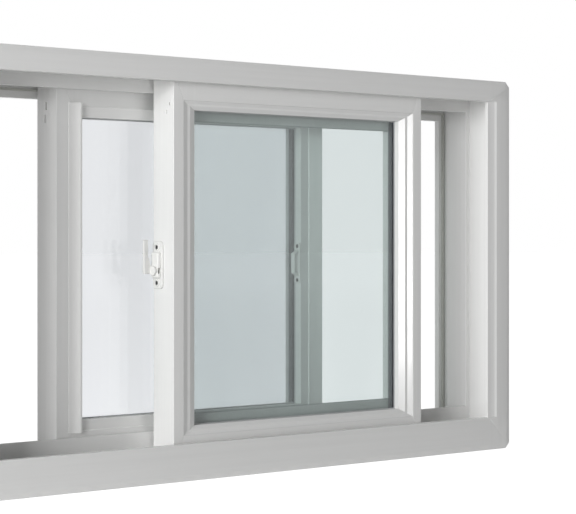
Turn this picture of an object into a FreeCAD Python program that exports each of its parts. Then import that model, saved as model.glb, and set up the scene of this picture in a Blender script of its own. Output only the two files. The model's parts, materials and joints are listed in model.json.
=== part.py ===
# Horizontal sliding window of white PVC, two sashes that both slide, double glazing.
# Millimetres. X runs along the window, Y from the room to the outside, Z up.
# The origin is at the middle of the sill's underside.
import FreeCAD
import Part
import Sketcher
import os
import re

doc = FreeCAD.newDocument("SlidingWindow")
sheet = doc.addObject("Spreadsheet::Sheet", "Sizes")

# Driving sizes, each written once
SIZES = {
    # Outer frame
    "frame_width": 1042,
    "frame_height": 600,
    "frame_bevel_width": 9,
    "frame_bevel_depth": 2.5,
    "frame_corner_cut": 9,
    "front_lip_depth": 10,
    "rear_lip_depth": 10,
    "rib_depth": 4,
    "head_web": 8,
    "head_front_lip": 34,
    "head_rib": 48,
    "head_rear_lip": 60,
    "sill_web": 8,
    "sill_front_lip": 53,
    "sill_rib": 67,
    "sill_rear_lip": 52,
    "jamb_web": 26,
    "jamb_front_lip": 51,
    "jamb_outer_flat": 33,
    "jamb_step_width": 5,
    "jamb_step_depth": 3,
    "jamb_rib": 34,
    "jamb_rear_lip": 36,
    "fixing_hole_radius": 3,
    "fixing_hole_inset": 100,
    "fixing_hole_setback": 12,
    # Aluminium rails that the rollers run on
    "track_height": 6,
    "track_foot_height": 2,
    "track_depth": 8,
    "track_crown": 4,
    # Sashes and their running room
    "sash_clearance": 5,
    "sash_thickness": 47,
    "sash_closed_edge": 31,
    "meeting_overlap": 14,
    "sash_lift": 5,
    "sash_top_gap": 7,
    "near_slide_open": 161.5,
    "far_slide_open": 163,
    "stile_flat": 18.5,
    "rail_flat": 44.5,
    "rail_flange": 71.5,
    "flange_land": 15.5,
    "flange_step": 1.5,
    # Finger pull along the far jamb stile
    "pull_inset": 20,
    "pull_width": 19,
    "pull_crest": 3,
    "pull_rise": 7,
    "pull_edge": 1,
    "pull_foot_gap": 5,
    "pull_head_gap": 18,
    # Glazing
    "glass_recess": 17,
    "pane_thickness": 3,
    "pane_gap": 8,
    "pane_edge_gap": 5,
    "spacer_inset": 8,
    "spacer_foot_inset": 2,
    "spacer_show": 3,
    # Stepped glazing bead
    "bead_width": 25,
    "rail_bead_width": 13,
    "bead_reveal": 0.6,
    "bead_first_slope": 9,
    "bead_first_drop": 3.5,
    "bead_land": 5,
    "bead_lip_drop": 7.5,
    # Rollers in the bottom rails
    "roller_radius": 8,
    "roller_width": 6,
    "roller_axle_radius": 2,
    "roller_inset": 70,
    "roller_running_gap": 0.3,
    "roller_pocket_margin": 3,
    "roller_pocket_depth": 14,
    "roller_side_gap": 2,
    # Lock on the near sash and keeper on the far sash
    "lock_height_above_middle": 4,
    "lock_depth_centre": 34,
    "lock_plate_height": 68,
    "lock_plate_width": 22,
    "lock_plate_thickness": 3,
    "lock_case_height": 38,
    "lock_case_width": 17,
    "lock_case_thickness": 6,
    "lock_edge_round": 3,
    "lock_pivot_drop": 8,
    "lever_running_gap": 0.3,
    "lever_pin_radius": 2.5,
    "lever_pin_clearance": 0.05,
    "lever_pin_length": 5,
    "lever_hub_radius": 7,
    "lever_hub_thickness": 4,
    "lever_reach": 44,
    "lever_blade_back": 3,
    "lever_blade_thickness": 5,
    "lever_blade_width": 11,
    "lever_tip_round": 1.8,
    "keeper_height": 62,
    "keeper_width": 12,
    "keeper_plate": 2.5,
    "keeper_glass_gap": 2.5,
    "keeper_bridge_height": 42,
    "keeper_bridge_rise": 9,
    "keeper_bridge_wall": 5,
    "keeper_bridge_bar": 2.5,
}
for row, (alias, number) in enumerate(SIZES.items(), start=1):
    sheet.set(f"A{row}", alias)
    sheet.set(f"B{row}", str(number))
    sheet.setAlias(f"B{row}", alias)
doc.recompute()

# Places worked out from the driving sizes
FRAME_DEPTH = ("(front_lip_depth + 2 * sash_thickness + 4 * sash_clearance"
               " + rib_depth + rear_lip_depth)")
FRONT = f"(-{FRAME_DEPTH} / 2)"
NEAR_FRONT = f"({FRONT} + front_lip_depth + sash_clearance)"
RIB_FRONT = f"({NEAR_FRONT} + sash_thickness + sash_clearance)"
FAR_FRONT = f"({RIB_FRONT} + rib_depth + sash_clearance)"
SASH_WIDTH = "((frame_width - 2 * sash_closed_edge + meeting_overlap) / 2)"
SASH_BOTTOM = "(sill_web + track_height + sash_lift)"
SASH_HEIGHT = f"(frame_height - {SASH_BOTTOM} - head_web - sash_top_gap)"
NEAR_LEFT = f"(frame_width / 2 - sash_closed_edge - {SASH_WIDTH} - near_slide_open)"
FAR_LEFT = "(sash_closed_edge + far_slide_open - frame_width / 2)"
GLASS_BACK = "(glass_recess + 2 * pane_thickness + pane_gap)"
STILE_WIDTH = "(stile_flat + bead_width)"
RAIL_WIDTH = "(rail_flat + rail_bead_width)"
LOCK_MIDDLE = f"({SASH_HEIGHT} / 2 + lock_height_above_middle)"

nodes = {}


def tie(text):
    """Turn words that are aliases of the sheet into references to its cells."""
    return re.sub(r"[a-z_]+", lambda word: "Sizes." + word.group(0), text)


def size(text):
    """The present value of an expression, in millimetres."""
    return float(sheet.evalExpression(tie(text)))


def place(thing, x="0", y="0", z="0", half_turn=False):
    """Bind an object's place to the sheet, turned back to front where asked."""
    if half_turn:
        thing.Placement.Rotation = FreeCAD.Rotation(FreeCAD.Vector(0, 0, 1), 180)
    for axis, text in (("x", x), ("y", y), ("z", z)):
        thing.setExpression(f"Placement.Base.{axis}", tie(text))


def new_body(label):
    body = doc.addObject("PartDesign::Body", label)
    body.Label = label
    return body


def outline(body, plane, *loops):
    """A sketch of closed loops whose corners are each tied to two expressions."""
    sketch = body.newObject("Sketcher::SketchObject", f"{body.Name}_outline")
    support = [item for item in body.Origin.OriginFeatures if item.Role == plane]
    sketch.AttachmentSupport = [(support[0], "")]
    sketch.MapMode = "FlatFace"
    for corners in loops:
        points = [FreeCAD.Vector(size(a), size(b), 0) for a, b in corners]
        first = sketch.GeometryCount
        count = len(points)
        for index, point in enumerate(points):
            sketch.addGeometry(Part.LineSegment(point, points[(index + 1) % count]), False)
        for index, corner in enumerate(corners):
            edge = first + index
            after = first + (index + 1) % count
            sketch.addConstraint(Sketcher.Constraint("Coincident", edge, 2, after, 1))
            for kind, text in zip(("DistanceX", "DistanceY"), corner):
                constraint = Sketcher.Constraint(kind, -1, 1, edge, 1, size(text))
                number = sketch.addConstraint(constraint)
                sketch.setExpression(f"Constraints[{number}]", tie(text))
    return sketch


def pad(body, sketch, length, reverse=False, both_sides=False):
    feature = body.newObject("PartDesign::Pad", f"{body.Name}_pad")
    feature.Profile = sketch
    feature.Reversed = reverse
    feature.SideType = "Symmetric" if both_sides else "One side"
    feature.setExpression("Length", tie(length))
    return feature


def pocket(body, sketch, length, reverse=False, both_sides=False):
    """Cut a sketch into a body, and make sure that it took material away."""
    doc.recompute()
    before = body.Shape.Volume
    feature = body.newObject("PartDesign::Pocket", f"{body.Name}_pocket")
    feature.Profile = sketch
    feature.Reversed = reverse
    feature.SideType = "Symmetric" if both_sides else "One side"
    feature.setExpression("Length", tie(length))
    doc.recompute()
    if body.Shape.Volume >= before:
        raise RuntimeError(f"{feature.Name} cut nothing")
    return feature


def edges_in_plane(shape, axis, level):
    """Names of the edges that lie in one plane across an axis."""
    names = []
    for number, edge in enumerate(shape.Edges, start=1):
        if all(abs(getattr(vertex.Point, axis) - level) < 0.01 for vertex in edge.Vertexes):
            names.append(f"Edge{number}")
    return names


def combine(kind, label, base, tool):
    result = doc.addObject(kind, label)
    result.Label = label
    result.Base = base
    result.Tool = tool
    result.Refine = True
    return result


def fuse(label, pieces):
    result = doc.addObject("Part::MultiFuse", label)
    result.Label = label
    result.Shapes = pieces
    result.Refine = True
    return result


def box(label, length, width, height, x, y, z, half_turn=False):
    block = doc.addObject("Part::Box", label)
    block.Label = label
    for name, text in (("Length", length), ("Width", width), ("Height", height)):
        block.setExpression(name, tie(text))
    place(block, x, y, z, half_turn)
    return block


def cylinder(label, radius, height, x, y, z, tilt_axis=(0, 0, 1), tilt=0):
    """A round bar that stands upright unless it is tilted about an axis."""
    rod = doc.addObject("Part::Cylinder", label)
    rod.Label = label
    rod.setExpression("Radius", tie(radius))
    rod.setExpression("Height", tie(height))
    rod.Placement.Rotation = FreeCAD.Rotation(FreeCAD.Vector(*tilt_axis), tilt)
    place(rod, x, y, z)
    return rod


# Outer frame
def frame_blank():
    """The block that the four frame bars are trimmed to: bevelled in front, corners cut."""
    body = new_body("frame_blank")
    half = "frame_width / 2"
    cut = "frame_corner_cut"
    corners = [
        (f"{cut} - {half}", "0"), (f"{half} - {cut}", "0"),
        (half, cut), (half, f"frame_height - {cut}"),
        (f"{half} - {cut}", "frame_height"), (f"{cut} - {half}", "frame_height"),
        (f"-{half}", f"frame_height - {cut}"), (f"-{half}", cut),
    ]
    block = pad(body, outline(body, "XZ_Plane", corners), FRAME_DEPTH, both_sides=True)
    doc.recompute()
    bevel = body.newObject("PartDesign::Chamfer", "frame_bevel")
    bevel.Base = (block, edges_in_plane(block.Shape, "y", size(FRONT)))
    bevel.ChamferType = "Two distances"
    bevel.setExpression("Size", tie("frame_bevel_depth"))
    bevel.setExpression("Size2", tie("frame_bevel_width"))
    return body


def channel_corners(web, front_lip, rib, rear_lip):
    """The two-track channel in section: depth from the front face, then height from the web's back."""
    rib_start = "front_lip_depth + 2 * sash_clearance + sash_thickness"
    rear = f"{FRAME_DEPTH} - rear_lip_depth"
    return [
        ("0", "0"), (FRAME_DEPTH, "0"), (FRAME_DEPTH, rear_lip), (rear, rear_lip), (rear, web),
        (f"{rib_start} + rib_depth", web), (f"{rib_start} + rib_depth", rib),
        (rib_start, rib), (rib_start, web),
        ("front_lip_depth", web), ("front_lip_depth", front_lip), ("0", front_lip),
    ]


def sill_bar():
    body = new_body("sill_bar")
    corners = channel_corners("sill_web", "sill_front_lip", "sill_rib", "sill_rear_lip")
    pad(body, outline(body, "YZ_Plane", corners), "frame_width")
    place(body, "-frame_width / 2", FRONT)
    return body


def head_bar():
    body = new_body("head_bar")
    corners = channel_corners("head_web", "head_front_lip", "head_rib", "head_rear_lip")
    hanging = [(depth, f"-({height})") for depth, height in corners]
    pad(body, outline(body, "YZ_Plane", hanging), "frame_width")
    place(body, "-frame_width / 2", FRONT, "frame_height")
    return body


def jamb_bar(side, facing):
    """A side channel; its front lip steps back to a recessed inner flat."""
    body = new_body(f"{side}_jamb_bar")
    corners = channel_corners("jamb_web", "jamb_front_lip", "jamb_rib", "jamb_rear_lip")
    stepped = corners[:-1] + [
        ("jamb_step_depth", "jamb_front_lip"),
        ("jamb_step_depth", "jamb_outer_flat + jamb_step_width"),
        ("0", "jamb_outer_flat"),
    ]
    section = [(f"{facing} * ({height})", depth) for depth, height in stepped]
    pad(body, outline(body, "XY_Plane", section), "frame_height")
    place(body, f"-{facing} * frame_width / 2", FRONT)
    return body


def fixing_holes(side, facing):
    """Two screw holes through a jamb's web, in the floor of the near track behind the front lip."""
    depth = f"{FRONT} + front_lip_depth + fixing_hole_setback"
    holes = []
    for end, height in (("low", "fixing_hole_inset"), ("high", "frame_height - fixing_hole_inset")):
        holes.append(cylinder(f"{side}_{end}_fixing_hole", "fixing_hole_radius", "2 * jamb_web",
                              f"-{facing} * frame_width / 2 - jamb_web", depth, height, (0, 1, 0), 90))
    return holes


def outer_frame():
    blank = frame_blank()
    head = head_bar()
    sill = sill_bar()
    nodes["frame_head"] = combine("Part::Common", "frame_head", head, blank)
    nodes["frame_sill"] = combine("Part::Common", "frame_sill", sill, blank)
    for side, facing in (("left", "1"), ("right", "-1")):
        cutters = fuse(f"{side}_jamb_cutters", [head, sill] + fixing_holes(side, facing))
        coped = combine("Part::Cut", f"{side}_jamb_coped", jamb_bar(side, facing), cutters)
        nodes[f"{side}_jamb"] = combine("Part::Common", f"{side}_jamb", coped, blank)


def track(label, sash_front):
    """An aluminium rail with a narrow crown, standing in the sill's track."""
    body = new_body(label)
    foot = "track_depth / 2"
    crown = "track_crown / 2"
    corners = [(f"-{foot}", "0"), (foot, "0"), (foot, "track_foot_height"), (crown, "track_foot_height"),
               (crown, "track_height"), (f"-{crown}", "track_height"),
               (f"-{crown}", "track_foot_height"), (f"-{foot}", "track_foot_height")]
    pad(body, outline(body, "YZ_Plane", corners), "frame_width - 2 * jamb_web")
    place(body, "jamb_web - frame_width / 2", f"{sash_front} + sash_thickness / 2", "sill_web")
    nodes[label] = body


# Sashes, drawn from the lower left corner of the bead side
def sash_section(flat, flange):
    """An open rebate for the glass: width from the outer edge, then depth from the bead side."""
    low = "sash_thickness - flange_step"
    return [("0", "0"), (flat, "0"), (flat, GLASS_BACK), (flange, GLASS_BACK), (flange, low),
            (f"{flange} - flange_land", low), (f"{flange} - flange_land", "sash_thickness"),
            ("0", "sash_thickness")]


def stile(label, right):
    body = new_body(label)
    corners = sash_section("stile_flat", STILE_WIDTH)
    if right:
        corners = [(f"{SASH_WIDTH} - ({width})", depth) for width, depth in corners]
    pad(body, outline(body, "XY_Plane", corners), SASH_HEIGHT)
    return body


def rail_bar(label, top):
    body = new_body(label)
    section = [(depth, width) for width, depth in sash_section("rail_flat", "rail_flange")]
    if top:
        section = [(depth, f"{SASH_HEIGHT} - ({height})") for depth, height in section]
    pad(body, outline(body, "YZ_Plane", section), SASH_WIDTH)
    return body


def roller_centres():
    return ("roller_inset", f"{SASH_WIDTH} - roller_inset")


def roller_pockets(body):
    """Two slots in the underside of the bottom rail, one over each roller."""
    reach = "(roller_radius + roller_pocket_margin)"
    side = "(roller_width / 2 + roller_side_gap)"
    middle = "sash_thickness / 2"
    loops = []
    for centre in roller_centres():
        loops.append([(f"{centre} - {reach}", f"{middle} - {side}"), (f"{centre} + {reach}", f"{middle} - {side}"),
                      (f"{centre} + {reach}", f"{middle} + {side}"), (f"{centre} - {reach}", f"{middle} + {side}")])
    pocket(body, outline(body, "XY_Plane", *loops), "roller_pocket_depth", reverse=True)


def bead_section():
    """The stepped bead: width from the rebate's wall, then depth from the sash's face."""
    land_start = "bead_first_slope"
    land_end = "(bead_first_slope + bead_land)"
    return [("0", "bead_reveal"), (land_start, "bead_first_drop"), (land_end, "bead_first_drop"),
            ("bead_width", "bead_lip_drop"), ("bead_width", "glass_recess"), ("0", "glass_recess")]


def stile_bead(label, right):
    body = new_body(label)
    section = [(f"stile_flat + {width}", depth) for width, depth in bead_section()]
    outer, inner = "stile_flat", STILE_WIDTH
    if right:
        section = [(f"{SASH_WIDTH} - ({width})", depth) for width, depth in section]
        outer, inner = f"{SASH_WIDTH} - stile_flat", f"{SASH_WIDTH} - {STILE_WIDTH}"
    pad(body, outline(body, "XY_Plane", section), SASH_HEIGHT)
    low = [(outer, "0"), (outer, "rail_flat"), (inner, RAIL_WIDTH), (inner, "0")]
    high = [(x, f"{SASH_HEIGHT} - ({z})") for x, z in low]
    pocket(body, outline(body, "XZ_Plane", low, high), "2 * sash_thickness", both_sides=True)
    return body


def rail_bead(label, top):
    body = new_body(label)
    narrowed = "rail_bead_width / bead_width"
    section = [(depth, f"rail_flat + {width} * {narrowed}") for width, depth in bead_section()]
    outer, inner = "rail_flat", RAIL_WIDTH
    if top:
        section = [(depth, f"{SASH_HEIGHT} - ({height})") for depth, height in section]
        outer, inner = f"{SASH_HEIGHT} - rail_flat", f"{SASH_HEIGHT} - {RAIL_WIDTH}"
    pad(body, outline(body, "YZ_Plane", section), SASH_WIDTH)
    left = [("0", outer), ("stile_flat", outer), (STILE_WIDTH, inner), ("0", inner)]
    right = [(f"{SASH_WIDTH} - ({x})", z) for x, z in left]
    pocket(body, outline(body, "XZ_Plane", left, right), "2 * sash_thickness", both_sides=True)
    return body


def pane_solid(label, depth, corner, half_turn):
    """One sheet of glass, a gap inside the rebate all round."""
    side = "(stile_flat + pane_edge_gap)"
    foot = "(rail_flat + pane_edge_gap)"
    return sash_box(label, side, foot, depth, "pane_thickness", corner, half_turn)


def sash_box(label, side, foot, depth, thickness, corner, half_turn):
    """A block centred in the sash: its inset from the sides and ends, its depth and thickness."""
    x, y, z = corner
    sign = "-" if half_turn else "+"
    return box(label, f"{SASH_WIDTH} - 2 * {side}", thickness, f"{SASH_HEIGHT} - 2 * {foot}",
               f"{x} {sign} {side}", f"{y} {sign} ({depth})", f"{z} + {foot}", half_turn)


def spacer_ring(label, corner, half_turn):
    """The dark bar that holds the two sheets apart: it shows past the stile beads, not past the rail beads."""
    outer_side = "(stile_flat + pane_edge_gap + spacer_inset)"
    outer_foot = "(rail_flat + pane_edge_gap + spacer_foot_inset)"
    inner_side = f"({STILE_WIDTH} + spacer_show)"
    depth = "glass_recess + pane_thickness"
    outer = sash_box(f"{label}_block", outer_side, outer_foot, depth, "pane_gap", corner, half_turn)
    inner = sash_box(f"{label}_window", inner_side, RAIL_WIDTH, depth, "pane_gap", corner, half_turn)
    return combine("Part::Cut", label, outer, inner)


def rollers(label, corner, half_turn):
    """Two wheels on axles that reach the walls of their pockets."""
    x, y, z = corner
    sign = "-" if half_turn else "+"
    height = f"{z} - sash_lift + roller_running_gap + roller_radius"
    axle_length = "(roller_width + 2 * roller_side_gap)"
    pieces = []
    for number, centre in enumerate(roller_centres(), start=1):
        for name, radius, length in (("wheel", "roller_radius", "roller_width"),
                                     ("axle", "roller_axle_radius", axle_length)):
            pieces.append(cylinder(f"{label}_{name}_{number}", radius, length, f"{x} {sign} ({centre})",
                                   f"{y} {sign} sash_thickness / 2 + {length} / 2", height, (1, 0, 0), 90))
    return fuse(label, pieces)


def pull_rail(corner):
    """A finger pull on the room side of the far jamb stile, coved on its outer side."""
    x, y, z = corner
    foot = "sill_rib + pull_foot_gap"
    height = f"frame_height - head_rib - pull_head_gap - ({foot})"
    strip = box("pull_strip", "pull_width", "pull_rise + flange_step", height,
                f"{x} - {SASH_WIDTH} + pull_inset + pull_width", f"{y} - sash_thickness + flange_step", foot,
                half_turn=True)
    run = "(pull_width - pull_crest)"
    drop = "(pull_rise - pull_edge)"
    radius = f"(({run} ^ 2 + {drop} ^ 2) / (2 * {drop}))"
    cove = cylinder("pull_cove", radius, height, f"{x} - {SASH_WIDTH} + pull_inset",
                    f"{y} - sash_thickness - pull_edge - {radius}", foot)
    coved = combine("Part::Cut", "pull_coved", strip, cove)
    seat = fuse("pull_seat", [nodes["far_jamb_stile"], nodes["far_top_rail"], nodes["far_bottom_rail"]])
    nodes["far_pull_rail"] = combine("Part::Cut", "far_pull_rail", coved, seat)


def sash(name, corner, half_turn=False):
    """One sash; the far one is the same sash turned back to front."""
    stiles = {"meeting_stile": stile(f"{name}_meeting_stile", False),
              "jamb_stile": stile(f"{name}_jamb_stile", True)}
    bottom = rail_bar(f"{name}_bottom_rail_bar", False)
    roller_pockets(bottom)
    bars = {"bottom_rail": bottom, "top_rail": rail_bar(f"{name}_top_rail_bar", True)}
    beads = {"meeting_bead": stile_bead(f"{name}_meeting_bead", False),
             "jamb_bead": stile_bead(f"{name}_jamb_bead", True),
             "bottom_bead": rail_bead(f"{name}_bottom_bead", False),
             "top_bead": rail_bead(f"{name}_top_bead", True)}
    for body in list(stiles.values()) + list(bars.values()) + list(beads.values()):
        place(body, *corner, half_turn)
    for piece, body in list(stiles.items()) + list(beads.items()):
        nodes[f"{name}_{piece}"] = body
    for piece, body in bars.items():
        both = fuse(f"{name}_{piece}_cutters", list(stiles.values()))
        nodes[f"{name}_{piece}"] = combine("Part::Cut", f"{name}_{piece}", body, both)
    first = f"{name}_bead_side_pane"
    second = f"{name}_flange_side_pane"
    nodes[first] = pane_solid(first, "glass_recess", corner, half_turn)
    nodes[second] = pane_solid(second, f"{GLASS_BACK} - pane_thickness", corner, half_turn)
    nodes[f"{name}_spacer"] = spacer_ring(f"{name}_spacer", corner, half_turn)
    nodes[f"{name}_rollers"] = rollers(f"{name}_rollers", corner, half_turn)


# Lock and keeper
def rectangle(centre_a, centre_b, length_a, length_b):
    a, b = f"{length_a} / 2", f"{length_b} / 2"
    return [(f"{centre_a} - {a}", f"{centre_b} - {b}"), (f"{centre_a} + {a}", f"{centre_b} - {b}"),
            (f"{centre_a} + {a}", f"{centre_b} + {b}"), (f"{centre_a} - {a}", f"{centre_b} + {b}")]


def round_edges(body, base, axis, level, radius):
    doc.recompute()
    rounding = body.newObject("PartDesign::Fillet", f"{body.Name}_round")
    rounding.Base = (base, edges_in_plane(base.Shape, axis, level))
    rounding.setExpression("Radius", tie(radius))
    return rounding


def lock_case(corner):
    """A screwed plate with a rounded case, on the outer edge of the near meeting stile."""
    body = new_body("lock_case")
    case_top = "(lock_plate_thickness + lock_case_thickness)"
    plate = outline(body, "YZ_Plane", rectangle("lock_depth_centre", LOCK_MIDDLE, "lock_plate_width",
                                                "lock_plate_height"))
    pad(body, plate, "lock_plate_thickness", reverse=True)
    case = outline(body, "YZ_Plane", rectangle("lock_depth_centre", LOCK_MIDDLE, "lock_case_width",
                                               "lock_case_height"))
    raised = pad(body, case, case_top, reverse=True)
    round_edges(body, raised, "x", -size(case_top), "lock_edge_round")
    place(body, *corner)
    bore = lever_rod("lock_bore", "lever_pin_radius + lever_pin_clearance", corner, "0", case_top)
    nodes["lock_case"] = combine("Part::Cut", "lock_case_bored", body, bore)


def lever_rod(label, radius, corner, start, length):
    """A round bar on the lever's axis, running away from the sash's edge."""
    x, y, z = corner
    return cylinder(label, radius, length, f"{x} - ({start})", f"{y} + lock_depth_centre",
                    f"{z} + {LOCK_MIDDLE} - lock_pivot_drop", (0, 1, 0), -90)


def lock_lever(corner):
    """Hub, pivot pin and an upright thumb blade that stands away from the sash."""
    face = "(lock_plate_thickness + lock_case_thickness + lever_running_gap)"
    hub = lever_rod("lever_hub", "lever_hub_radius", corner, face, "lever_hub_thickness")
    pin = lever_rod("lever_pin", "lever_pin_radius", corner, f"{face} - lever_pin_length", "lever_pin_length")
    body = new_body("lever_blade")
    pivot = f"({LOCK_MIDDLE} - lock_pivot_drop)"
    back = "(lock_depth_centre + lever_blade_back)"
    tip = f"({pivot} + lever_reach)"
    side = [(back, pivot), (f"{back} + lever_blade_thickness", f"{pivot}"),
            (f"{back} + lever_blade_thickness", tip), (back, tip)]
    blade = pad(body, outline(body, "YZ_Plane", side), "lever_hub_thickness + lever_blade_width", reverse=True)
    round_edges(body, blade, "z", size(tip), "lever_tip_round")
    x, y, z = corner
    place(body, f"{x} - {face}", y, z)
    nodes["lock_lever"] = fuse("lock_lever", [hub, pin, body])


def keeper(corner):
    """A plate with a bridge for the lock, on the glass side of the far meeting stile."""
    body = new_body("keeper")
    depth = f"({GLASS_BACK} + keeper_glass_gap + keeper_width / 2)"
    pad(body, outline(body, "YZ_Plane", rectangle(depth, LOCK_MIDDLE, "keeper_width", "keeper_height")),
        "keeper_plate")
    top = "(keeper_plate + keeper_bridge_rise)"
    pad(body, outline(body, "YZ_Plane", rectangle(depth, LOCK_MIDDLE, "keeper_width", "keeper_bridge_height")), top)
    low = f"{LOCK_MIDDLE} - keeper_bridge_height / 2 + keeper_bridge_wall"
    high = f"{LOCK_MIDDLE} + keeper_bridge_height / 2 - keeper_bridge_wall"
    slot = [("keeper_plate", low), (f"{top} - keeper_bridge_bar", low),
            (f"{top} - keeper_bridge_bar", high), ("keeper_plate", high)]
    pocket(body, outline(body, "XZ_Plane", slot), "2 * sash_thickness", both_sides=True)
    x, y, z = corner
    place(body, f"{x} - {STILE_WIDTH}", y, z, half_turn=True)
    nodes["keeper"] = body


outer_frame()
track("near_track", NEAR_FRONT)
track("far_track", FAR_FRONT)
near_corner = (NEAR_LEFT, NEAR_FRONT, SASH_BOTTOM)
far_corner = (f"({FAR_LEFT} + {SASH_WIDTH})", f"({FAR_FRONT} + sash_thickness)", SASH_BOTTOM)
sash("near", near_corner)
sash("far", far_corner, half_turn=True)
pull_rail(far_corner)
lock_case(near_corner)
lock_lever(near_corner)
keeper(far_corner)

doc.recompute()
for thing in doc.Objects:
    if "Invalid" in thing.State or "Error" in thing.State:
        raise RuntimeError(f"{thing.Label} failed: {thing.State}")
os.makedirs("parts", exist_ok=True)
for name, thing in nodes.items():
    if thing.Shape.isNull() or not thing.Shape.isValid() or not thing.Shape.Solids:
        raise RuntimeError(f"{name} has no valid solid")
for name, thing in nodes.items():
    thing.Shape.exportStep(f"parts/{name}.step")
print(f"{len(nodes)} nodes written")
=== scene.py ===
import json
import math

import bmesh
import bpy
from mathutils import Matrix, Vector


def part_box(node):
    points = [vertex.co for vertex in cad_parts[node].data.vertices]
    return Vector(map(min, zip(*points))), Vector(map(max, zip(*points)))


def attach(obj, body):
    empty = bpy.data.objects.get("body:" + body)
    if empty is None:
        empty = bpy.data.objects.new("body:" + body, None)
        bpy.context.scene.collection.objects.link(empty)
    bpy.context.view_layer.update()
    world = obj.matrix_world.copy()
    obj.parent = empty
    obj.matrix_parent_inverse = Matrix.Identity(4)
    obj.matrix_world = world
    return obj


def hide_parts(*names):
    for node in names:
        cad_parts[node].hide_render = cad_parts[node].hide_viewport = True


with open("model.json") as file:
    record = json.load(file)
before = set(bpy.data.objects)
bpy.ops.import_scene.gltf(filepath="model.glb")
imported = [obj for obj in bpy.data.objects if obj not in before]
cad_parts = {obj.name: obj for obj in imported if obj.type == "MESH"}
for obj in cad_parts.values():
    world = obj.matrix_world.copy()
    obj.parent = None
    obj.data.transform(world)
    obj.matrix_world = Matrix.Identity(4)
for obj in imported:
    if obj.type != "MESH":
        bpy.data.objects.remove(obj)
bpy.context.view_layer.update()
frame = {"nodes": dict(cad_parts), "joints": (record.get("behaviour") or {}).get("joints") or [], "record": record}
MM = 0.001

# The photograph's frame and the camera that took it
IMAGE_WIDTH = 576
IMAGE_HEIGHT = 514
HORIZON_Y = 236.7
FOCAL_PIXELS = 1976.4
SENSOR_WIDTH = 36.0
CAMERA_YAW = math.radians(41.476)
CAMERA_PLACE = Vector((-1.9001, -2.257, 0.3465))

# Meshing
MERGE_DISTANCE = 0.002 * MM
FLAT_ANGLE = math.radians(0.5)
LEAST_CORNER = math.radians(20.0)
SHARP_CORNER = math.radians(50.0)
BEAD_STEP = math.radians(12.0)
SHORTEST_EASED_EDGE = 2.5 * MM


def corners_of(*nodes):
    """The lowest and highest corners of some CAD nodes together."""
    boxes = [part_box(node) for node in nodes]
    low = Vector([min(box[0][axis] for box in boxes) for axis in range(3)])
    high = Vector([max(box[1][axis] for box in boxes) for axis in range(3)])
    return low, high


BARS = ("top_rail", "bottom_rail", "meeting_stile", "jamb_stile")
BEADS = ("top_bead", "bottom_bead", "meeting_bead", "jamb_bead")
frame_low, frame_high = corners_of("frame_head", "frame_sill", "left_jamb", "right_jamb")
near_low, near_high = corners_of(*[f"near_{bar}" for bar in BARS])
far_low, far_high = corners_of(*[f"far_{bar}" for bar in BARS])
jamb_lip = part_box("left_jamb")[1][0] - frame_low.x
STILE_WIDTH = 43.5 * MM


# Nodes and materials
def linear(hex_colour):
    """An sRGB hex colour as linear RGBA."""
    channels = [int(hex_colour[i:i + 2], 16) / 255 for i in (1, 3, 5)]
    return [c / 12.92 if c <= 0.04045 else ((c + 0.055) / 1.055) ** 2.4 for c in channels] + [1.0]


def add(material, kind, settings=None, inputs=None):
    """Add one node with its settings, and set or link its inputs."""
    tree = material.node_tree
    node = tree.nodes.new(kind)
    for name, value in (settings or {}).items():
        setattr(node, name, value)
    for name, value in (inputs or {}).items():
        if isinstance(value, bpy.types.NodeSocket):
            tree.links.new(value, node.inputs[name])
        else:
            node.inputs[name].default_value = value
    return node


def new_material(name):
    """A material whose node tree is empty."""
    material = bpy.data.materials.new(name)
    material.use_nodes = True
    material.node_tree.nodes.clear()
    return material


def finish_material(material, shader):
    """Link the last shader to the material's surface."""
    add(material, "ShaderNodeOutputMaterial", inputs={"Surface": shader})
    return material


def core_mask(material, place, low, high):
    """1 on the left, right, upper and lower faces of a box, 0 inside it."""
    skin = 0.3 * MM
    masks = []
    for axis in (0, 2):
        along = add(material, "ShaderNodeSeparateXYZ", inputs={0: place}).outputs[axis]
        from_middle = add(material, "ShaderNodeMath", {"operation": "SUBTRACT"},
                          {0: along, 1: (low[axis] + high[axis]) / 2})
        distance = add(material, "ShaderNodeMath", {"operation": "ABSOLUTE"}, {0: from_middle.outputs[0]})
        masks.append(add(material, "ShaderNodeMath", {"operation": "GREATER_THAN"},
                         {0: distance.outputs[0], 1: (high[axis] - low[axis]) / 2 - skin}).outputs[0])
    return add(material, "ShaderNodeMath", {"operation": "MAXIMUM"}, {0: masks[0], 1: masks[1]}).outputs[0]


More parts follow.
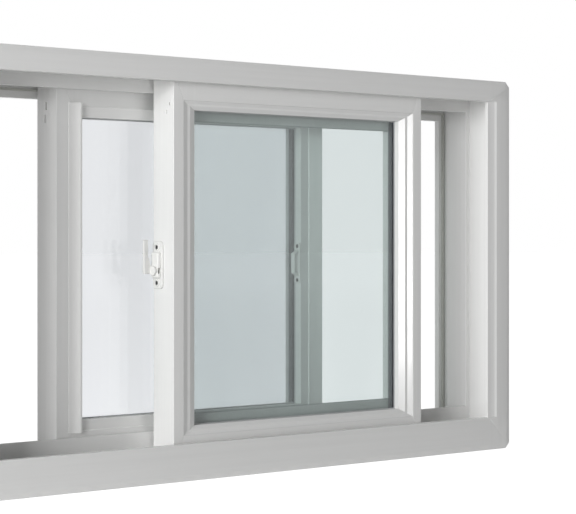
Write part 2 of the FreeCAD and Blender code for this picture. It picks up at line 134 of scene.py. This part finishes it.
def extruded_pvc(name, level_from, level_to, wall_faces=None):
    """White window PVC drawn through a die: satin, with faint lines along each bar and uneven gloss.

    The bars between the two places along X lie level, the others stand upright. Real die lines are
    under 1 mm apart; they are drawn 6 mm apart so that they show. Wall faces, when given, are the outer
    sides that meet the wall: there the white skin ends and the greyer core of the extrusion shows.
    """
    line_spacing = 6 * MM
    line_stretch = 0.02
    cloud_size = 120 * MM
    material = new_material(name)
    place = add(material, "ShaderNodeTexCoord").outputs["Object"]
    along = add(material, "ShaderNodeSeparateXYZ", inputs={0: place}).outputs["X"]
    past_left = add(material, "ShaderNodeMath", {"operation": "GREATER_THAN"}, {0: along, 1: level_from})
    before_right = add(material, "ShaderNodeMath", {"operation": "LESS_THAN"}, {0: along, 1: level_to})
    level = add(material, "ShaderNodeMath", {"operation": "MULTIPLY"},
                {0: past_left.outputs[0], 1: before_right.outputs[0]})
    stretch = add(material, "ShaderNodeMix", {"data_type": "VECTOR"},
                  {0: level.outputs[0], 4: (1.0, 1.0, line_stretch), 5: (line_stretch, 1.0, 1.0)})
    drawn = add(material, "ShaderNodeVectorMath", {"operation": "MULTIPLY"},
                {0: place, 1: stretch.outputs[1]})
    lines = add(material, "ShaderNodeTexNoise",
                inputs={"Vector": drawn.outputs[0], "Scale": 1 / line_spacing,
                        "Detail": 3.0, "Roughness": 0.6})
    cloud = add(material, "ShaderNodeTexNoise",
                inputs={"Vector": place, "Scale": 1 / cloud_size, "Detail": 3.0})
    colour = add(material, "ShaderNodeMix", {"data_type": "RGBA"},
                 {0: lines.outputs["Fac"], 6: linear("#F1F1F0"), 7: linear("#F9F9F8")})
    if wall_faces:
        core = core_mask(material, place, *wall_faces)
        colour = add(material, "ShaderNodeMix", {"data_type": "RGBA"},
                     {0: core, 6: colour.outputs[2], 7: linear("#C3C5C3")})
    gloss = add(material, "ShaderNodeMapRange",
                inputs={"Value": cloud.outputs["Fac"], "From Min": 0.3, "From Max": 0.7,
                        "To Min": 0.18, "To Max": 0.26})
    relief = add(material, "ShaderNodeBump",
                 inputs={"Height": lines.outputs["Fac"], "Strength": 0.06, "Distance": 0.15 * MM})
    shader = add(material, "ShaderNodeBsdfPrincipled",
                 inputs={"Base Color": colour.outputs[2], "Roughness": gloss.outputs["Result"],
                         "IOR": 1.53, "Normal": relief.outputs["Normal"]})
    return finish_material(material, shader.outputs["BSDF"])


def float_glass(name, dark, light):
    """Clear float glass: sharp reflections, a faint grey-green from its iron and a slight draw wave."""
    wave_width = 90 * MM
    material = new_material(name)
    place = add(material, "ShaderNodeTexCoord").outputs["Object"]
    drawn = add(material, "ShaderNodeMapping", inputs={"Vector": place, "Scale": (1.0, 1.0, 0.15)})
    wave = add(material, "ShaderNodeTexNoise",
               inputs={"Vector": drawn.outputs[0], "Scale": 1 / wave_width, "Detail": 1.0})
    tint = add(material, "ShaderNodeMix", {"data_type": "RGBA"},
               {0: wave.outputs["Fac"], 6: linear(dark), 7: linear(light)})
    glass = add(material, "ShaderNodeBsdfPrincipled",
                inputs={"Base Color": tint.outputs[2], "Roughness": 0.0, "IOR": 1.5,
                        "Transmission Weight": 1.0})
    clear = add(material, "ShaderNodeBsdfTransparent", inputs={"Color": linear("#F2F5F4")})
    ray = add(material, "ShaderNodeLightPath")
    either = add(material, "ShaderNodeMath", {"operation": "MAXIMUM"},
                 {0: ray.outputs["Is Shadow Ray"], 1: ray.outputs["Is Diffuse Ray"]})
    shader = add(material, "ShaderNodeMixShader",
                 inputs={0: either.outputs[0], 1: glass.outputs["BSDF"], 2: clear.outputs["BSDF"]})
    return finish_material(material, shader.outputs["Shader"])


def warm_edge_spacer():
    """Dark grey warm-edge bar of the sealed unit: matt, with rows of fine breathing pinholes."""
    pinhole_spacing = 2.5 * MM
    material = new_material("warm_edge_spacer")
    place = add(material, "ShaderNodeTexCoord").outputs["Object"]
    holes = add(material, "ShaderNodeTexVoronoi",
                inputs={"Vector": place, "Scale": 1 / pinhole_spacing, "Randomness": 0.15})
    depth = add(material, "ShaderNodeMapRange",
                inputs={"Value": holes.outputs["Distance"], "From Min": 0.12, "From Max": 0.22})
    colour = add(material, "ShaderNodeMix", {"data_type": "RGBA"},
                 {0: depth.outputs["Result"], 6: linear("#26282B"), 7: linear("#4A4D52")})
    relief = add(material, "ShaderNodeBump",
                 inputs={"Height": depth.outputs["Result"], "Strength": 0.5, "Distance": 0.3 * MM})
    shader = add(material, "ShaderNodeBsdfPrincipled",
                 inputs={"Base Color": colour.outputs[2], "Roughness": 0.55,
                         "Normal": relief.outputs["Normal"]})
    return finish_material(material, shader.outputs["BSDF"])


def mill_aluminium():
    """Extruded aluminium as it leaves the mill: bright, with draw lines along the rail and dull scuffs."""
    line_spacing = 1.5 * MM
    scuff_size = 40 * MM
    material = new_material("mill_aluminium")
    place = add(material, "ShaderNodeTexCoord").outputs["Object"]
    drawn = add(material, "ShaderNodeMapping", inputs={"Vector": place, "Scale": (0.02, 1.0, 1.0)})
    lines = add(material, "ShaderNodeTexNoise",
                inputs={"Vector": drawn.outputs[0], "Scale": 1 / line_spacing, "Detail": 4.0})
    scuffs = add(material, "ShaderNodeTexNoise",
                 inputs={"Vector": place, "Scale": 1 / scuff_size, "Detail": 5.0})
    colour = add(material, "ShaderNodeMix", {"data_type": "RGBA"},
                 {0: lines.outputs["Fac"], 6: linear("#BFC1C3"), 7: linear("#D6D8DA")})
    dull = add(material, "ShaderNodeMapRange",
               inputs={"Value": scuffs.outputs["Fac"], "To Min": 0.22, "To Max": 0.5})
    relief = add(material, "ShaderNodeBump",
                 inputs={"Height": lines.outputs["Fac"], "Strength": 0.2, "Distance": 0.1 * MM})
    shader = add(material, "ShaderNodeBsdfPrincipled",
                 inputs={"Base Color": colour.outputs[2], "Metallic": 1.0,
                         "Roughness": dull.outputs["Result"], "Normal": relief.outputs["Normal"]})
    return finish_material(material, shader.outputs["BSDF"])


def moulded(name, dark, light, grain, roughness, depth):
    """A moulded or coated surface: two close shades in a fine grain that also dimples the gloss."""
    material = new_material(name)
    place = add(material, "ShaderNodeTexCoord").outputs["Object"]
    speck = add(material, "ShaderNodeTexNoise", inputs={"Vector": place, "Scale": 1 / grain, "Detail": 4.0})
    colour = add(material, "ShaderNodeMix", {"data_type": "RGBA"},
                 {0: speck.outputs["Fac"], 6: linear(dark), 7: linear(light)})
    relief = add(material, "ShaderNodeBump",
                 inputs={"Height": speck.outputs["Fac"], "Strength": 0.2, "Distance": depth})
    shader = add(material, "ShaderNodeBsdfPrincipled",
                 inputs={"Base Color": colour.outputs[2], "Roughness": roughness,
                         "Normal": relief.outputs["Normal"]})
    return finish_material(material, shader.outputs["BSDF"])


def wool_pile():
    """Grey brush seal: a dense pile whose fibres stand across the gap, so it looks soft and dull."""
    fibre_spacing = 0.8 * MM
    material = new_material("woven_pile_seal")
    place = add(material, "ShaderNodeTexCoord").outputs["Object"]
    combed = add(material, "ShaderNodeMapping", inputs={"Vector": place, "Scale": (1.0, 0.1, 1.0)})
    fibres = add(material, "ShaderNodeTexNoise",
                 inputs={"Vector": combed.outputs[0], "Scale": 1 / fibre_spacing, "Detail": 3.0})
    colour = add(material, "ShaderNodeMix", {"data_type": "RGBA"},
                 {0: fibres.outputs["Fac"], 6: linear("#B4B5AF"), 7: linear("#DADAD5")})
    relief = add(material, "ShaderNodeBump",
                 inputs={"Height": fibres.outputs["Fac"], "Strength": 0.8, "Distance": 0.5 * MM})
    shader = add(material, "ShaderNodeBsdfPrincipled",
                 inputs={"Base Color": colour.outputs[2], "Roughness": 0.9, "Sheen Weight": 0.4,
                         "Normal": relief.outputs["Normal"]})
    return finish_material(material, shader.outputs["BSDF"])


frame_pvc = extruded_pvc("extruded_white_pvc_frame", frame_low.x + jamb_lip, frame_high.x - jamb_lip,
                         (frame_low, frame_high))
near_pvc = extruded_pvc("extruded_white_pvc_near_sash", near_low.x + STILE_WIDTH, near_high.x - STILE_WIDTH)
far_pvc = extruded_pvc("extruded_white_pvc_far_sash", far_low.x + STILE_WIDTH, far_high.x - STILE_WIDTH)
near_glass = float_glass("clear_float_glass_near_sash", "#E6EBEB", "#ECF0F0")
far_glass = float_glass("clear_float_glass_far_sash", "#EFF0F2", "#F3F4F5")
spacer = warm_edge_spacer()
aluminium = mill_aluminium()
# Cast nylon: a waxy off-white with a faint mottle
nylon = moulded("moulded_nylon", "#D2CFC5", "#E2DFD6", 3 * MM, 0.5, 0.05 * MM)
# Baked enamel on a zinc casting: glossier than the frame, with the slight orange peel of sprayed paint
enamel = moulded("white_baked_enamel", "#EDEDEB", "#F5F5F3", 1.2 * MM, 0.25, 0.08 * MM)
# Soft glazing gasket: pale grey rubbery lip, matt
gasket = moulded("soft_glazing_gasket", "#B4B6B8", "#C6C8CA", 2 * MM, 0.7, 0.05 * MM)
# Black phosphated screws: near black, slightly rough, oily shine
black_steel = moulded("black_phosphated_steel", "#0E0E0F", "#1E1E20", 0.8 * MM, 0.45, 0.05 * MM)
pile = wool_pile()

finishes = {"clear_glass": far_glass, "spacer_bar": spacer, "track_aluminium": aluminium,
            "roller_nylon": nylon, "lock_enamel": enamel, "white_pvc": frame_pvc}
slot_of = {part["node"]: part["material_slot"] for part in frame["record"]["subparts"]}
for name, node in frame["nodes"].items():
    node.data.materials.clear()
    near_pane = name.startswith("near") and name.endswith("pane")
    node.data.materials.append(near_glass if near_pane else finishes[slot_of[name]])


# Mesh tools
def copied(node):
    """A merged copy of a CAD node, with its flat faces whole."""
    shape = bmesh.new()
    shape.from_mesh(frame["nodes"][node].data)
    bmesh.ops.remove_doubles(shape, verts=shape.verts, dist=MERGE_DISTANCE)
    bmesh.ops.dissolve_limit(shape, angle_limit=FLAT_ANGLE, verts=shape.verts, edges=shape.edges)
    return shape


def block(low, high):
    """A box between two corners."""
    low, high = Vector(low), Vector(high)
    shape = bmesh.new()
    stretch = Matrix.Diagonal((*(high - low), 1.0))
    bmesh.ops.create_cube(shape, size=1.0, matrix=Matrix.Translation((low + high) / 2) @ stretch)
    return shape


def rod(start, end, radius, sides=24):
    """A round bar between two points."""
    start, end = Vector(start), Vector(end)
    turn = (end - start).to_track_quat("Z", "Y").to_matrix().to_4x4()
    shape = bmesh.new()
    bmesh.ops.create_cone(shape, cap_ends=True, segments=sides, radius1=radius, radius2=radius,
                          depth=(end - start).length, matrix=Matrix.Translation((start + end) / 2) @ turn)
    return shape


def ease(shape, width, segments=2, shortest=SHORTEST_EASED_EDGE):
    """Round the outside corners of a shape."""
    edges = [edge for edge in shape.edges
             if edge.is_manifold and edge.is_convex and edge.calc_length() > shortest
             and edge.calc_face_angle() > LEAST_CORNER]
    bmesh.ops.bevel(shape, geom=edges, offset=width, offset_type="OFFSET", segments=segments, profile=0.5,
                    affect="EDGES", clamp_overlap=True, material=-1)
    return shape


def temporary(shape):
    """A shape as an object that lasts for one step."""
    mesh = bpy.data.meshes.new("temporary")
    shape.to_mesh(mesh)
    shape.free()
    thing = bpy.data.objects.new("temporary", mesh)
    bpy.context.scene.collection.objects.link(thing)
    return thing


def boolean(shape, tools, operation):
    """Join other shapes to a shape, or cut them out of it."""
    base = temporary(shape)
    operands = [temporary(tool) for tool in tools]
    for operand in operands:
        step = base.modifiers.new("boolean", "BOOLEAN")
        step.operation = operation
        step.solver = "EXACT"
        step.object = operand
    bpy.context.view_layer.update()
    result = bmesh.new()
    result.from_object(base, bpy.context.evaluated_depsgraph_get())
    for thing in [base] + operands:
        mesh = thing.data
        bpy.data.objects.remove(thing)
        bpy.data.meshes.remove(mesh)
    bmesh.ops.remove_doubles(result, verts=result.verts, dist=MERGE_DISTANCE)
    return result


def joined(*shapes):
    """Several shapes as one mesh, not fused."""
    whole = bmesh.new()
    for shape in shapes:
        mesh = bpy.data.meshes.new("temporary")
        shape.to_mesh(mesh)
        shape.free()
        whole.from_mesh(mesh)
        bpy.data.meshes.remove(mesh)
    return whole


def finished(shape, name, body, material, replaced=(), sharp=SHARP_CORNER):
    """Make a shape a smooth-shaded piece that rides on a body; corners past the sharp angle stay crisp."""
    for face in shape.faces:
        face.smooth = True
    for edge in shape.edges:
        edge.smooth = edge.is_manifold and edge.calc_face_angle() < sharp
    mesh = bpy.data.meshes.new(name)
    shape.to_mesh(mesh)
    shape.free()
    mesh.materials.append(material)
    piece = bpy.data.objects.new(name, mesh)
    bpy.context.scene.collection.objects.link(piece)
    normals = piece.modifiers.new("even_normals", "WEIGHTED_NORMAL")
    normals.keep_sharp = True
    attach(piece, body)
    if replaced:
        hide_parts(*replaced)
    return piece


def welded(bars):
    """Some bars as one welded frame, with eased corners."""
    corner = 0.7 * MM
    shapes = [copied(bar) for bar in bars]
    shape = boolean(shapes[0], shapes[1:], "UNION")
    bmesh.ops.dissolve_limit(shape, angle_limit=FLAT_ANGLE, verts=shape.verts, edges=shape.edges)
    return ease(shape, corner)


def slot_cutter(centre, across, size, depth):
    """A round-ended slot: across is the axis it is cut along, size its length in Z or X and its width."""
    length, width = size
    centre = Vector(centre)
    inward = Vector(across) * depth
    along = Vector((0, 0, 1)) if abs(across[0]) > 0.5 else Vector((1, 0, 0))
    reach = along * (length - width) / 2
    side = along.cross(Vector(across)) * width / 2
    ends = [rod(centre + way * reach - inward, centre + way * reach + inward, width / 2) for way in (-1, 1)]
    low = [min(a, -a) for a in reach + side + inward]
    middle = block(centre + Vector(low), centre - Vector(low))
    return boolean(middle, ends, "UNION")


def weld_line(start, end):
    """A fine V groove along a corner weld."""
    groove = 0.7 * MM
    return rod(start, end, groove, sides=4)


# Outer frame
def welded_frame():
    """The four channels as one frame, with corner welds and drain slots at the rear of the sill."""
    bars = ["frame_head", "frame_sill", "left_jamb", "right_jamb"]
    shape = welded(bars)
    head_lip = 34 * MM
    sill_lip = 53 * MM
    cuts = []
    for side in (-1, 1):
        outer = side * frame_high.x
        inner = side * (frame_high.x - jamb_lip)
        for level, lip in ((frame_high.z, -head_lip), (frame_low.z, sill_lip)):
            cuts.append(weld_line((outer, frame_low.y, level), (inner, frame_low.y, level + lip)))
    drain_height = 15 * MM
    drain_places = (-330 * MM, 0.0, 330 * MM)
    drain_size = (28 * MM, 5 * MM)
    drain_depth = 4 * MM
    for place in drain_places:
        cuts.append(slot_cutter((place, frame_high.y, drain_height), (0, 1, 0), drain_size, drain_depth))
    shape = boolean(shape, cuts, "DIFFERENCE")
    finished(shape, "welded_frame", "frame", frame_pvc, bars)


def ring(low, high, widths):
    """A flat ring across Y between two corners; widths are its sides and its foot and head."""
    side, end = widths
    inner_low = Vector((low[0] + side, low[1] - MM, low[2] + end))
    inner_high = Vector((high[0] - side, high[1] + MM, high[2] - end))
    return boolean(block(low, high), [block(inner_low, inner_high)], "DIFFERENCE")


def pile_seals():
    """Brush seals on the inner faces of the front and rear lips, just short of the sashes."""
    height = 4.2 * MM
    width = 3 * MM
    lip = 10 * MM
    near_inset, near_foot, near_head = 41 * MM, 43 * MM, 24 * MM
    far_inset, far_foot, far_head = 27 * MM, 39 * MM, 47 * MM
    front = frame_low.y + lip
    rear = frame_high.y - lip
    near_seal = ring((frame_low.x + near_inset, front, frame_low.z + near_foot),
                     (frame_high.x - near_inset, front + height, frame_high.z - near_head), (width, width))
    far_seal = ring((frame_low.x + far_inset, rear - height, frame_low.z + far_foot),
                    (frame_high.x - far_inset, rear, frame_high.z - far_head), (width, width))
    for name, shape in (("near_pile_seal", near_seal), ("far_pile_seal", far_seal)):
        finished(shape, name, "frame", pile)


# Sashes
def welded_sash(name, low, high, material, face_y, flats, edge_slots):
    """The four bars of a sash with their corner welds and edge slots, and its four beads."""
    slot_depth = 3 * MM
    bead_corner = 0.4 * MM
    bars = [f"{name}_{bar}" for bar in BARS]
    shape = welded(bars)
    stile_flat, rail_flat = flats
    cuts = []
    for side, turn in ((low.x, 1), (high.x, -1)):
        for level, up in ((low.z, 1), (high.z, -1)):
            cuts.append(weld_line((side, face_y, level),
                                  (side + turn * stile_flat, face_y, level + up * rail_flat)))
    for depth, height, size in edge_slots:
        cuts.append(slot_cutter((low.x, depth, height), (1, 0, 0), size, slot_depth))
    shape = boolean(shape, cuts, "DIFFERENCE")
    finished(shape, f"{name}_sash_bars", f"{name}_sash", material, bars)
    beads = []
    for bead in BEADS:
        node = f"{name}_{bead}"
        beads.append(finished(ease(copied(node), bead_corner), f"{node}_eased", f"{name}_sash",
                              material, [node], BEAD_STEP))
    return beads


def glazing_gaskets(name, low, high):
    """A soft lip round each side of the sealed unit, where the glass meets the bead and the flange."""
    lip = 1.3 * MM
    height = 2.0 * MM
    corner = 0.4 * MM
    rail_width = 57.5 * MM
    rail_flange = 71.5 * MM
    bead_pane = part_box(f"{name}_bead_side_pane")
    flange_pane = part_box(f"{name}_flange_side_pane")
    bead_in_front = bead_pane[0][1] < flange_pane[0][1]
    for side, pane, foot, in_front in (("bead", bead_pane, rail_width, bead_in_front),
                                       ("flange", flange_pane, rail_flange, not bead_in_front)):
        start = pane[0][1] - height if in_front else pane[1][1]
        shape = ring((low.x + STILE_WIDTH, start, low.z + foot),
                     (high.x - STILE_WIDTH, start + height, high.z - foot), (lip, lip))
        finished(ease(shape, corner), f"{name}_{side}_gasket", f"{name}_sash", gasket)


# Lock and keeper
SCREW_RADIUS = 3.2 * MM
SCREW_HOLE = 3.3 * MM
lever_pivot = Vector(next(joint for joint in frame["joints"] if joint["name"] == "lever_turn")["pos_m"])


def sideways(distance):
    """A step along the window."""
    return Vector((distance, 0.0, 0.0))


def rounded_plate(low, high, corner, edge):
    """A thin plate across X; corner and edge are the sizes and segments of its roundings."""
    radius, steps = corner
    plate = block(low, high)
    corners = [side for side in plate.edges if abs(side.verts[0].co.x - side.verts[1].co.x) > MM]
    bmesh.ops.bevel(plate, geom=corners, offset=radius, offset_type="OFFSET", segments=steps, profile=0.5,
                    affect="EDGES", clamp_overlap=True, material=-1)
    return ease(plate, *edge, 0.0)


def screw(place):
    """A screw head that faces left, with a cross recess."""
    depth = 1.2 * MM
    recess = 0.8 * MM
    arm = SCREW_RADIUS * 0.7
    half = SCREW_RADIUS * 0.16
    head = ease(rod(place + sideways(depth), place, SCREW_RADIUS, 20), 0.3 * MM, 2, 0.0)
    upright = block(place - Vector((recess, half, arm)), place + Vector((recess, half, arm)))
    level = block(place - Vector((recess, arm, half)), place + Vector((recess, arm, half)))
    return boolean(head, [upright, level], "DIFFERENCE")


def lock():
    """A plate with a raised case, two screw bosses and the opening that the lever's hook passes."""
    low, high = corners_of("lock_case")
    middle_y = (low.y + high.y) / 2
    middle_z = (low.z + high.z) / 2
    face = high.x
    plate_rise = 3 * MM
    screw_spread = 25.5 * MM
    boss_radius = 5 * MM
    hook_half = 4 * MM
    plate = rounded_plate((face - plate_rise, low.y, low.z), high, (6 * MM, 6), (0.9 * MM, 3))
    half_width, half_height = 8.5 * MM, 19 * MM
    case = block((low.x, middle_y - half_width, middle_z - half_height),
                 (face - 1 * MM, middle_y + half_width, middle_z + half_height))
    ease(case, 3.2 * MM, 5, 0.0)
    bosses = []
    holes = []
    screws = []
    for way in (-1, 1):
        spot = Vector((face - plate_rise, middle_y, middle_z + way * screw_spread))
        boss = rod(spot + sideways(1 * MM), spot - sideways(1.8 * MM), boss_radius, 32)
        bosses.append(ease(boss, 0.8 * MM, 3, 0.0))
        holes.append(rod(spot + sideways(0.4 * MM), spot - sideways(3 * MM), SCREW_HOLE))
        screws.append(screw(spot - sideways(0.4 * MM)))
    hook_opening = block((low.x + 1.0 * MM, middle_y - half_width - MM, lever_pivot.z - hook_half),
                         (face - 3.2 * MM, middle_y - half_width + 9 * MM, lever_pivot.z + hook_half))
    shape = boolean(plate, [case] + bosses, "UNION")
    shape = boolean(shape, holes + [hook_opening], "DIFFERENCE")
    finished(shape, "lock_body", "near_sash", enamel, ["lock_case"])
    finished(joined(*screws), "lock_screws", "near_sash", black_steel)


def lever():
    """Hub, arm and a thumb blade that leans away from the sash, thinner and rounder at its tip."""
    low, high = corners_of("lock_lever")
    hub_radius = 7 * MM
    hub_length = 4 * MM
    pin_radius = 2.5 * MM
    blade_thickness = 5 * MM
    blade_foot = 5 * MM
    tip_thinning = 0.35
    lean = 7 * MM
    hub_start = Vector((low.x + 11 * MM, lever_pivot.y, lever_pivot.z))
    pin_end = Vector((high.x, lever_pivot.y, lever_pivot.z))
    hub = ease(rod(hub_start + sideways(hub_length), hub_start, hub_radius, 32), 1.0 * MM, 3, 0.0)
    pin = rod(pin_end, hub_start + sideways(1 * MM), pin_radius)
    blade = block((low.x, high.y - blade_thickness, lever_pivot.z - blade_foot),
                  (hub_start.x + hub_length, high.y, high.z))
    upright = [edge for edge in blade.edges if abs(edge.verts[0].co.z - edge.verts[1].co.z) > MM]
    bmesh.ops.subdivide_edges(blade, edges=upright, cuts=6)
    middle = high.y - blade_thickness / 2
    for vert in blade.verts:
        rise = max(0.0, (vert.co.z - lever_pivot.z) / (high.z - lever_pivot.z))
        vert.co.y = middle + (vert.co.y - middle) * (1 - tip_thinning * rise)
        if vert.co.x > low.x + 5 * MM:
            vert.co.x -= lean * min(1.0, 2 * rise)
    ease(blade, 1.3 * MM, 4, 0.0)
    shape = boolean(blade, [hub, pin], "UNION")
    finished(shape, "thumb_lever", "lever", enamel, ["lock_lever"])


def keeper():
    """A screwed plate with a slant-legged bridge."""
    low, high = corners_of("keeper")
    middle_z = (low.z + high.z) / 2
    plate_rise = 2.5 * MM
    plate = rounded_plate((high.x - plate_rise, low.y, low.z), high, (4 * MM, 5), (0.6 * MM, 2))
    bar = 2.5 * MM
    side_inset = 2.0 * MM
    seat = high.x - plate_rise + 0.5 * MM
    outline = [(seat, -21 * MM), (low.x, -14.5 * MM), (low.x, 14.5 * MM), (seat, 21 * MM),
               (seat, 16.5 * MM), (low.x + bar, 12.5 * MM), (low.x + bar, -12.5 * MM), (seat, -16.5 * MM)]
    bridge = bmesh.new()
    face = bridge.faces.new([bridge.verts.new((x, low.y + side_inset, middle_z + z)) for x, z in outline])
    swept = bmesh.ops.extrude_face_region(bridge, geom=[face])
    moved = [item for item in swept["geom"] if isinstance(item, bmesh.types.BMVert)]
    bmesh.ops.translate(bridge, verts=moved, vec=(0, high.y - low.y - 2 * side_inset, 0))
    bmesh.ops.recalc_face_normals(bridge, faces=bridge.faces)
    ease(bridge, 0.6 * MM, 3, 0.0)
    screw_spread = 26 * MM
    holes = []
    screws = []
    for way in (-1, 1):
        spot = Vector((high.x - plate_rise, (low.y + high.y) / 2, middle_z + way * screw_spread))
        holes.append(rod(spot + sideways(1.2 * MM), spot - sideways(1 * MM), SCREW_HOLE))
        screws.append(screw(spot + sideways(0.3 * MM)))
    shape = boolean(boolean(plate, [bridge], "UNION"), holes, "DIFFERENCE")
    finished(shape, "keeper_bridge", "far_sash", enamel, ["keeper"])
    finished(joined(*screws), "keeper_screws", "far_sash", black_steel)


welded_frame()
pile_seals()
near_slot = (5 * MM, 2.2 * MM)
far_slot = (12 * MM, 4 * MM)
near_beads = welded_sash("near", near_low, near_high, near_pvc, near_low.y, (18.5 * MM, 44.5 * MM),
                         [(frame_low.y + 25 * MM, 535 * MM, near_slot),
                          (frame_low.y + 31 * MM, 524 * MM, near_slot)])
welded_sash("far", far_low, far_high, far_pvc, far_low.y, (28 * MM, 56 * MM),
            [(frame_low.y + 101 * MM, 529 * MM, far_slot),
             (frame_low.y + 103 * MM, 511 * MM, far_slot)])
glazing_gaskets("near", near_low, near_high)
glazing_gaskets("far", far_low, far_high)
finished(ease(copied("far_pull_rail"), 0.5 * MM), "finger_pull", "far_sash", far_pvc,
         ["far_pull_rail"])
lock()
lever()
keeper()

# Camera, level, with the horizon moved by the shift
camera_data = bpy.data.cameras.new("camera")
camera_data.sensor_width = SENSOR_WIDTH
camera_data.lens = FOCAL_PIXELS * SENSOR_WIDTH / IMAGE_WIDTH
camera_data.shift_y = (HORIZON_Y - IMAGE_HEIGHT / 2) / IMAGE_WIDTH
camera = bpy.data.objects.new("camera", camera_data)
camera.location = CAMERA_PLACE
camera.rotation_euler = (math.pi / 2, 0.0, -CAMERA_YAW)
bpy.context.scene.collection.objects.link(camera)
bpy.context.scene.camera = camera

# World, floor and lamps
AMBIENT_FRONT = 0.15
AMBIENT_BACK = 0.62
OVERHEAD_SHARE = 0.45
SEEN_WHITE = 1.0
FLOOR_GLOW = 0.81
FLOOR_BOUNCE = 0.08
FRONT_SHADE = 0.6
FRONT_FADE = 9.0


def seen_directly(material):
    """1 where a camera ray, a reflection or a look through glass meets the surface."""
    ray = add(material, "ShaderNodeLightPath")
    direct = add(material, "ShaderNodeMath", {"operation": "MAXIMUM"},
                 {0: ray.outputs["Is Camera Ray"], 1: ray.outputs["Is Glossy Ray"]})
    return add(material, "ShaderNodeMath", {"operation": "MAXIMUM"},
               {0: direct.outputs[0], 1: ray.outputs["Is Transmission Ray"]}).outputs[0]


def studio_world():
    """A white surround to look at; as light it is brighter behind the window and weaker overhead."""
    world = bpy.data.worlds.new("studio")
    bpy.context.scene.world = world
    world.use_nodes = True
    world.node_tree.nodes.clear()
    way = add(world, "ShaderNodeTexCoord").outputs["Generated"]
    parts = add(world, "ShaderNodeSeparateXYZ", inputs={0: way})
    round_about = add(world, "ShaderNodeMapRange",
                      inputs={"Value": parts.outputs["Y"], "From Min": -1.0,
                              "To Min": AMBIENT_FRONT, "To Max": AMBIENT_BACK})
    height = add(world, "ShaderNodeMapRange",
                 inputs={"Value": parts.outputs["Z"], "To Min": 1.0, "To Max": OVERHEAD_SHARE})
    ambient = add(world, "ShaderNodeMath", {"operation": "MULTIPLY"},
                  {0: round_about.outputs["Result"], 1: height.outputs["Result"]})
    level = add(world, "ShaderNodeMix",
                inputs={0: seen_directly(world), 2: ambient.outputs[0], 3: SEEN_WHITE})
    sky = add(world, "ShaderNodeBackground", inputs={"Color": (1, 1, 1, 1), "Strength": level.outputs[0]})
    add(world, "ShaderNodeOutputWorld", inputs={"Surface": sky.outputs["Background"]})


def studio_floor():
    """A pale floor that reads white where it is open and keeps a soft shadow.

    Mirrored in the glass and seen through it, its front part carries a painted shade that deepens towards the
    window, so the panes darken downwards.
    """
    mesh = bpy.data.meshes.new("floor")
    shape = bmesh.new()
    bmesh.ops.create_grid(shape, x_segments=1, y_segments=1, size=30.0)
    shape.to_mesh(mesh)
    shape.free()
    floor = bpy.data.objects.new("floor", mesh)
    bpy.context.scene.collection.objects.link(floor)
    material = new_material("pale_floor")
    place = add(material, "ShaderNodeTexCoord").outputs["Object"]
    outward = add(material, "ShaderNodeSeparateXYZ", inputs={0: place}).outputs["Y"]
    in_front = add(material, "ShaderNodeMath", {"operation": "LESS_THAN"}, {0: outward, 1: 0.0})
    not_camera = add(material, "ShaderNodeMath", {"operation": "SUBTRACT"},
                     {0: 1.0, 1: add(material, "ShaderNodeLightPath").outputs["Is Camera Ray"]})
    mirrored = add(material, "ShaderNodeMath", {"operation": "MULTIPLY"},
                   {0: in_front.outputs[0], 1: not_camera.outputs[0]})
    # Painted shade: the floor's glow in front of the window, as met by reflections and looks through glass, dims
    # towards the window
    painted_front_shade = add(material, "ShaderNodeMapRange",
               inputs={"Value": outward, "From Min": -FRONT_FADE, "From Max": -1.0,
                       "To Min": FLOOR_GLOW, "To Max": FLOOR_GLOW * FRONT_SHADE})
    shown = add(material, "ShaderNodeMix",
                inputs={0: mirrored.outputs[0], 2: FLOOR_GLOW, 3: painted_front_shade.outputs["Result"]})
    glow = add(material, "ShaderNodeMix",
               inputs={0: seen_directly(material), 2: FLOOR_BOUNCE, 3: shown.outputs[0]})
    paint = add(material, "ShaderNodeBsdfDiffuse", inputs={"Color": linear("#F4F4F4")})
    white = add(material, "ShaderNodeEmission", inputs={"Color": (1, 1, 1, 1), "Strength": glow.outputs[0]})
    shader = add(material, "ShaderNodeAddShader",
                 inputs={0: paint.outputs["BSDF"], 1: white.outputs["Emission"]})
    finish_material(material, shader.outputs["Shader"])
    mesh.materials.append(material)


def area_lamp(name, place, aim, size, watts):
    """A softbox that is not itself seen, neither directly nor through the glass."""
    data = bpy.data.lights.new(name, "AREA")
    data.shape = "RECTANGLE"
    data.size, data.size_y = size
    data.energy = watts
    lamp = bpy.data.objects.new(name, data)
    lamp.location = place
    lamp.rotation_euler = (Vector(aim) - Vector(place)).to_track_quat("-Z", "Y").to_euler()
    lamp.visible_camera = False
    lamp.visible_transmission = False
    bpy.context.scene.collection.objects.link(lamp)
    return lamp


def light_only(lamp, pieces):
    """Let a lamp shine on some pieces alone, and only as a gleam."""
    lamp.visible_diffuse = False
    lit = bpy.data.collections.new(f"{lamp.name}_lit")
    for piece in pieces:
        lit.objects.link(piece)
    lamp.light_linking.receiver_collection = lit


studio_world()
studio_floor()
area_lamp("side_light", (-4.65, -1.85, 1.1), (0.0, 0.0, 0.3), (2.4, 1.8), 165.0)
bead_strip = area_lamp("bead_strip", (0.555, -2.10, 0.33), (0.30, -0.05, 0.33), (0.38, 0.66), 16.0)
light_only(bead_strip, near_beads)

bpy.context.scene.view_settings.view_transform = "Standard"
